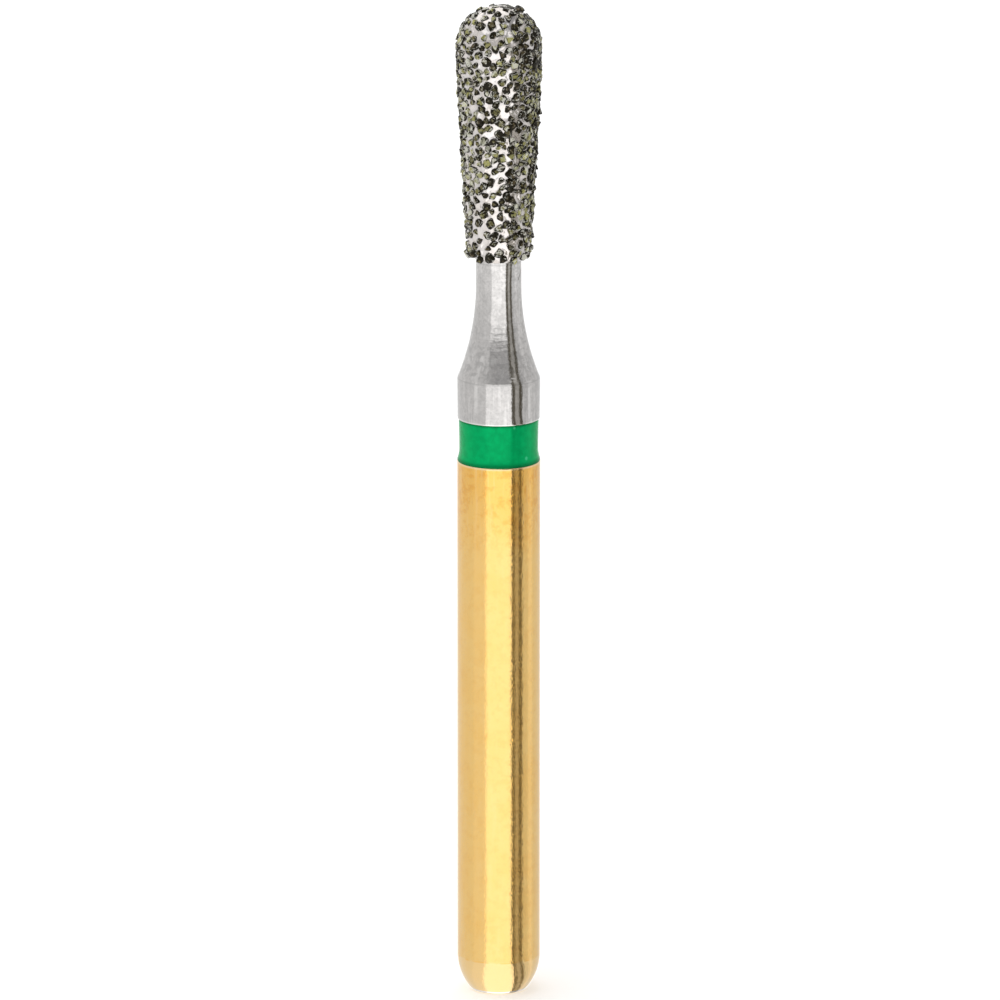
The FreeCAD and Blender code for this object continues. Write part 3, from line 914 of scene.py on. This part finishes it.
class BlankLook(bpy.types.PropertyGroup):
    """Sizes and colours of the turned blank."""

    edge: length_setting("Edge rounding", "Rounding of the turned edges", 0.022)
    columns: count_setting("Columns", "Facets round the blank", 256, 16)
    gold: colour_setting("Gold", "Colour of the plating", (0.985, 0.64, 0.21))
    warm_gold: colour_setting("Warm gold", "Plating near the ring", (0.98, 0.555, 0.115))
    steel: colour_setting("Steel", "Colour of the bare steel", (0.625, 0.605, 0.59))
    scratch: colour_setting("Scratch", "Dark scratches in the steel", (0.30, 0.28, 0.265))
    tarnish: colour_setting("Tarnish", "Clouds in the plating", (0.88, 0.41, 0.05))
    # Pale gold of the drawn streaks, and the painted sheen of the lead-in
    pale_gold_and_sheen: colour_setting("Pale gold", "Plating of the lead-in", (1.0, 0.70, 0.32))
    # Painted highlight along the top edge of the plating
    painted_highlight_gold: colour_setting("Worn gold", "Plating worn at the edges", (1.0, 0.84, 0.55))
    # Bright streaks in the steel, and the painted highlights on the edges, streaks and neck
    bright_steel_and_highlight: colour_setting("Bright steel", "Burnished steel", (0.92, 0.90, 0.88))
    # Steel of the neck painted lighter, as painted light
    lit_neck_steel: colour_setting("Neck steel", "Steel of the neck", (0.65, 0.63, 0.615))
    # Dull steel of the specks and pits, and the painted shade at the collar's edge and under the nickel's lip
    dull_steel_and_shade: colour_setting("Dull steel", "Specks in the steel", (0.42, 0.41, 0.40))


class RingLook(bpy.types.PropertyGroup):
    """Sizes and colours of the lacquer ring."""

    columns: count_setting("Columns", "Facets round the ring", 256, 16)
    green: colour_setting("Green", "Colour of the lacquer", (0.0, 0.50, 0.148))
    # Pale flecks, and the painted highlights on the lacquer
    fleck_and_glint: colour_setting("Fleck", "Pale flecks in the lacquer", (0.07, 0.66, 0.33))
    # Painted shade of the lacquer where it meets the metal
    shaded_edge_green: colour_setting("Edge green", "Lacquer at the joints", (0.0, 0.13, 0.035))


class CoatLook(bpy.types.PropertyGroup):
    """Sizes and colours of the nickel coat."""

    rows: count_setting("Rows", "Rings of the coat's mesh", 310, 20)
    columns: count_setting("Columns", "Facets round the coat", 300, 16)
    climb: length_setting("Climb", "How far the nickel climbs a grain", 0.026)
    reach: length_setting("Reach", "How wide the climb is", 0.030)
    nodules: length_setting("Nodules", "Unevenness of the coat", 0.010)
    nickel: colour_setting("Nickel", "Colour of the coat", (0.85, 0.815, 0.80))
    # Painted shade of the nickel next to the grains
    shaded_nickel: colour_setting("Dull nickel", "Nickel against the grains", (0.40, 0.37, 0.36))
    warm_nickel: colour_setting("Warm nickel", "Its cream patches", (0.88, 0.82, 0.77))


class GritLook(bpy.types.PropertyGroup):
    """Sizes and colours of the diamond grains."""

    seed: count_setting("Seed", "Start of the random scatter", 7)
    count: count_setting("Fine grains", "Grains added in the gaps", 520)
    tries: count_setting("Tries", "Places tried for them", 40000)
    spacing: strength_setting("Spacing", "Distance between grains for their sizes", 0.74)
    bareness: strength_setting("Bareness", "Less leaves more bare patches", 0.42)
    smallest: length_setting("Smallest", "Width of the smallest fine grain", 0.165)
    largest: length_setting("Largest", "Width of the largest fine grain", 0.25)
    bevel: length_setting("Bevel", "Width of the worn edges", 0.004)
    crowded_side: angle_setting("Crowded side", "Where the fine grains are closest", math.degrees(-0.5))
    # Painted shade at a grain's rim and on its dim facets
    shaded_rim_grain: colour_setting("Rim", "Grain at its rim", (0.013, 0.010, 0.003))
    brown_grain: colour_setting("Brown", "Darkest grains", (0.105, 0.080, 0.042))
    olive_grain: colour_setting("Olive", "Common grains", (0.225, 0.20, 0.078))
    clear_grain: colour_setting("Clear", "Yellow green grains", (0.55, 0.53, 0.19))
    # Glassy grains, and the painted pale patches inside the hearts
    glassy_grain_and_gleam: colour_setting("Glassy", "Grey glassy grains", (0.46, 0.46, 0.40))
    glint: colour_setting("Glint", "Light caught inside a grain", (0.84, 0.83, 0.74))


class StageLook(bpy.types.PropertyGroup):
    """The floor, the light and the camera."""

    floor_radius: length_setting("Floor radius", "Radius of the floor", 350.0)
    card_radius: length_setting("Card radius", "Distance of the reflection cards", 400.0)
    card_lean: angle_setting("Card lean", "How far the cards curl to the back under the bur", 42)
    floor_glow: strength_setting("Floor glow", "Keeps the floor white away from the bur", 0.31)
    daylight: strength_setting("Daylight", "Strength of the even light", 1.15)
    lens: FloatProperty(name="Lens", description="Focal length in millimetres", default=600.0, min=1.0)
    elevation: angle_setting("Elevation", "Height of the camera", 13.98)
    view_width: length_setting("View width", "Width of the picture at the bur", 19.14)
    aim_across: length_setting("Aim across", "Where the camera aims across", 0.025)
    aim_height: length_setting("Aim height", "Height at which the camera aims", 9.684)


class BUR_OT_steel_blank(bpy.types.Operator):
    """Turns the steel blank with its gold-plated shank"""

    bl_idname = "bur.steel_blank"
    bl_label = "Steel blank"

    def execute(self, context):
        look = context.scene.bur_blank
        mesh = turned_mesh("turned_blank", blank_outline(look.edge), look.columns)
        piece = shown(mesh, blank_finish(look), SHARP_METAL)
        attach(piece, "root")
        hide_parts("steel_blank")
        return {"FINISHED"}


class BUR_OT_colour_ring(bpy.types.Operator):
    """Fills the groove with green lacquer"""

    bl_idname = "bur.colour_ring"
    bl_label = "Colour ring"

    def execute(self, context):
        look = context.scene.bur_ring
        mesh = turned_mesh("lacquer_ring", ring_outline(context.scene.bur_blank.edge), look.columns)
        piece = shown(mesh, lacquer_finish(look), SHARP_METAL)
        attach(piece, "root")
        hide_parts("colour_ring")
        return {"FINISHED"}


class BUR_OT_head(bpy.types.Operator):
    """Plates the head with nickel round its diamond grains"""

    bl_idname = "bur.head"
    bl_label = "Diamond head"

    def execute(self, context):
        coat = context.scene.bur_coat
        look = context.scene.bur_grit
        coarse = cad_grains()
        fine = fine_grains(coarse, look)
        skin = shown(nickel_mesh("nickel_coat", coarse + fine, coat), nickel_finish(coat))
        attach(skin, "root")
        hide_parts("nickel_bond")
        diamond = diamond_finish(look)
        large = shown(grit_mesh("coarse_grit", coarse, look.seed + 1, look.bevel), diamond, SHARP_CRYSTAL)
        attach(large, "root")
        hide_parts("diamond_grit")
        small = shown(grit_mesh("fine_grit", fine, look.seed + 2, look.bevel), diamond, SHARP_CRYSTAL)
        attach(small, "root")
        return {"FINISHED"}


def card_direction(turn, tall, look):
    """Where a card's point lies: upright above the mirror line, and curling under the bur below it."""
    level = max(tall, -look.elevation)
    upright = Vector((math.sin(turn) * math.cos(level), -math.cos(turn) * math.cos(level), math.sin(level)))
    under = Vector((0.0, math.sin(look.card_lean), -math.cos(look.card_lean)))
    return upright.slerp(under, (level - tall) / (math.pi / 2 - look.elevation))


def card(name, azimuths, elevations, levels, tint, look):
    """A curved glowing panel. Azimuth is 0 towards the camera. Levels are those of its foot and top."""
    columns, rows = 10, 24
    points = []
    glows = []
    for row in range(rows + 1):
        tall = math.radians(elevations[0] + (elevations[1] - elevations[0]) * row / rows)
        for column in range(columns + 1):
            turn = math.radians(azimuths[0] + (azimuths[1] - azimuths[0]) * column / columns)
            points.append(card_direction(turn, tall, look) * look.card_radius)
            glows.append(levels[0] + (levels[1] - levels[0]) * row / rows)
    faces = []
    for row in range(rows):
        for column in range(columns):
            corner = row * (columns + 1) + column
            faces.append((corner, corner + 1, corner + columns + 2, corner + columns + 1))
    mesh = new_mesh(name, points, faces)
    mesh.attributes.new("glow", "FLOAT", "POINT").data.foreach_set("value", glows)
    finish = Finish(name)
    glow = finish.attribute("glow")
    finish.finish_with(finish.node("Emission", {}, {"Color": (*tint, 1.0), "Strength": glow}))
    finish.material.cycles.emission_sampling = "NONE"
    piece = shown(mesh, finish.material)
    piece.visible_camera = False


# Tints of the cards, then each card's azimuths and elevations in degrees, its glow at both ends and its tint
WHITE = (1.0, 1.0, 1.0)
WARM = (1.0, 0.97, 0.91)
AMBER = (1.0, 0.90, 0.68)
CARDS = (
    ("front_card", (-35, 35), (-88, 7), (1.32, 1.32), WHITE),
    ("near_left_card", (-72, -35), (-88, 12), (0.86, 0.86), WHITE),
    ("left_card", (-120, -72), (-88, 12), (0.79, 0.79), WHITE),
    ("left_back_card", (-155, -120), (-88, 12), (0.80, 0.80), WHITE),
    ("inner_flag", (35, 45), (-88, 30), (0.12, 0.12), AMBER),
    ("strip_card", (45, 57), (-88, 30), (0.49, 0.49), WARM),
    ("outer_flag", (57, 67), (-88, 30), (0.11, 0.11), AMBER),
    ("right_card", (67, 88), (-88, 12), (0.69, 0.69), WHITE),
    ("slot_card", (88, 104), (-88, 12), (0.85, 0.85), WHITE),
    ("far_right_card", (104, 155), (-88, 12), (0.72, 0.72), WHITE),
    ("back_card", (155, 205), (-88, 40), (1.15, 1.15), WHITE),
    ("front_fade_card", (-35, 35), (7, 15), (1.32, 0.50), WHITE),
    ("upper_front_card", (-35, 35), (15, 45), (0.50, 0.50), WHITE),
    ("upper_left_card", (-155, -35), (12, 45), (0.78, 0.62), WHITE),
    ("upper_right_card", (67, 155), (12, 45), (0.66, 0.55), WHITE),
    ("ceiling_flag", (15, 140), (45, 78), (0.30, 0.30), WHITE),
)


class BUR_OT_stage(bpy.types.Operator):
    """Sets the floor, the reflection cards, the light and the camera"""

    bl_idname = "bur.stage"
    bl_label = "Stage"

    def execute(self, context):
        look = context.scene.bur_stage
        ground = bmesh.new()
        bmesh.ops.create_circle(ground, cap_ends=True, radius=look.floor_radius, segments=128)
        mesh = bpy.data.meshes.new("floor")
        ground.to_mesh(mesh)
        ground.free()
        finish = Finish("white_floor")
        matte = finish.node("BsdfDiffuse", {}, {"Color": (1.0, 1.0, 1.0, 1.0)})
        rays = ("Is Camera Ray", "Is Glossy Ray", "Is Transmission Ray")
        seen = [finish.node("LightPath", {}, {}, ray) for ray in rays]
        glow = finish.node("Emission", {}, {"Strength": sum(seen) * look.floor_glow})
        finish.finish_with(finish.node("AddShader", {}, {0: matte, 1: glow}))
        floor = shown(mesh, finish.material)
        floor.location.z = -0.002 * MM
        floor.visible_glossy = False
        for name, azimuths, elevations, levels, tint in CARDS:
            card(name, azimuths, elevations, levels, tint, look)

        world = bpy.data.worlds.new("studio")
        world.use_nodes = True
        sky = world.node_tree.nodes["Background"]
        sky.inputs["Color"].default_value = (1.0, 1.0, 1.0, 1.0)
        sky.inputs["Strength"].default_value = look.daylight
        context.scene.world = world
        context.scene.view_settings.view_transform = "Standard"

        lens = bpy.data.cameras.new("camera")
        lens.lens = look.lens
        lens.clip_start = 0.01
        lens.clip_end = 2.0
        camera = bpy.data.objects.new("camera", lens)
        distance = look.view_width * look.lens / lens.sensor_width
        back = Vector((0.0, -math.cos(look.elevation), math.sin(look.elevation)))
        camera.location = Vector((look.aim_across, 0.0, look.aim_height)) + back * distance
        camera.rotation_euler = (math.pi / 2 - look.elevation, 0.0, 0.0)
        context.scene.collection.objects.link(camera)
        context.scene.camera = camera
        return {"FINISHED"}


class BUR_PT_panel(bpy.types.Panel):
    """Lists the sizes, colours and operators of the bur"""

    bl_label = "Dental bur"
    bl_idname = "BUR_PT_panel"
    bl_space_type = "VIEW_3D"
    bl_region_type = "UI"
    bl_category = "Bur"

    def draw(self, context):
        for operator, names in PARTS:
            box = self.layout.box()
            box.operator(operator)
            for look in (getattr(context.scene, name) for name in names):
                for setting in look.__annotations__:
                    box.prop(look, setting)


PARTS = (
    ("bur.steel_blank", ("bur_blank",)),
    ("bur.colour_ring", ("bur_ring",)),
    ("bur.head", ("bur_coat", "bur_grit")),
    ("bur.stage", ("bur_stage",)),
)
LOOKS = {
    "bur_blank": BlankLook,
    "bur_ring": RingLook,
    "bur_coat": CoatLook,
    "bur_grit": GritLook,
    "bur_stage": StageLook,
}
CLASSES = (*LOOKS.values(), BUR_OT_steel_blank, BUR_OT_colour_ring, BUR_OT_head, BUR_OT_stage, BUR_PT_panel)


def register():
    for made in CLASSES:
        bpy.utils.register_class(made)
    for name, look in LOOKS.items():
        setattr(bpy.types.Scene, name, PointerProperty(type=look))


def unregister():
    for name in LOOKS:
        delattr(bpy.types.Scene, name)
    for made in reversed(CLASSES):
        bpy.utils.unregister_class(made)


def main():
    register()
    bpy.ops.bur.stage()
    bpy.ops.bur.steel_blank()
    bpy.ops.bur.colour_ring()
    bpy.ops.bur.head()


if __name__ == "__main__":
    main()
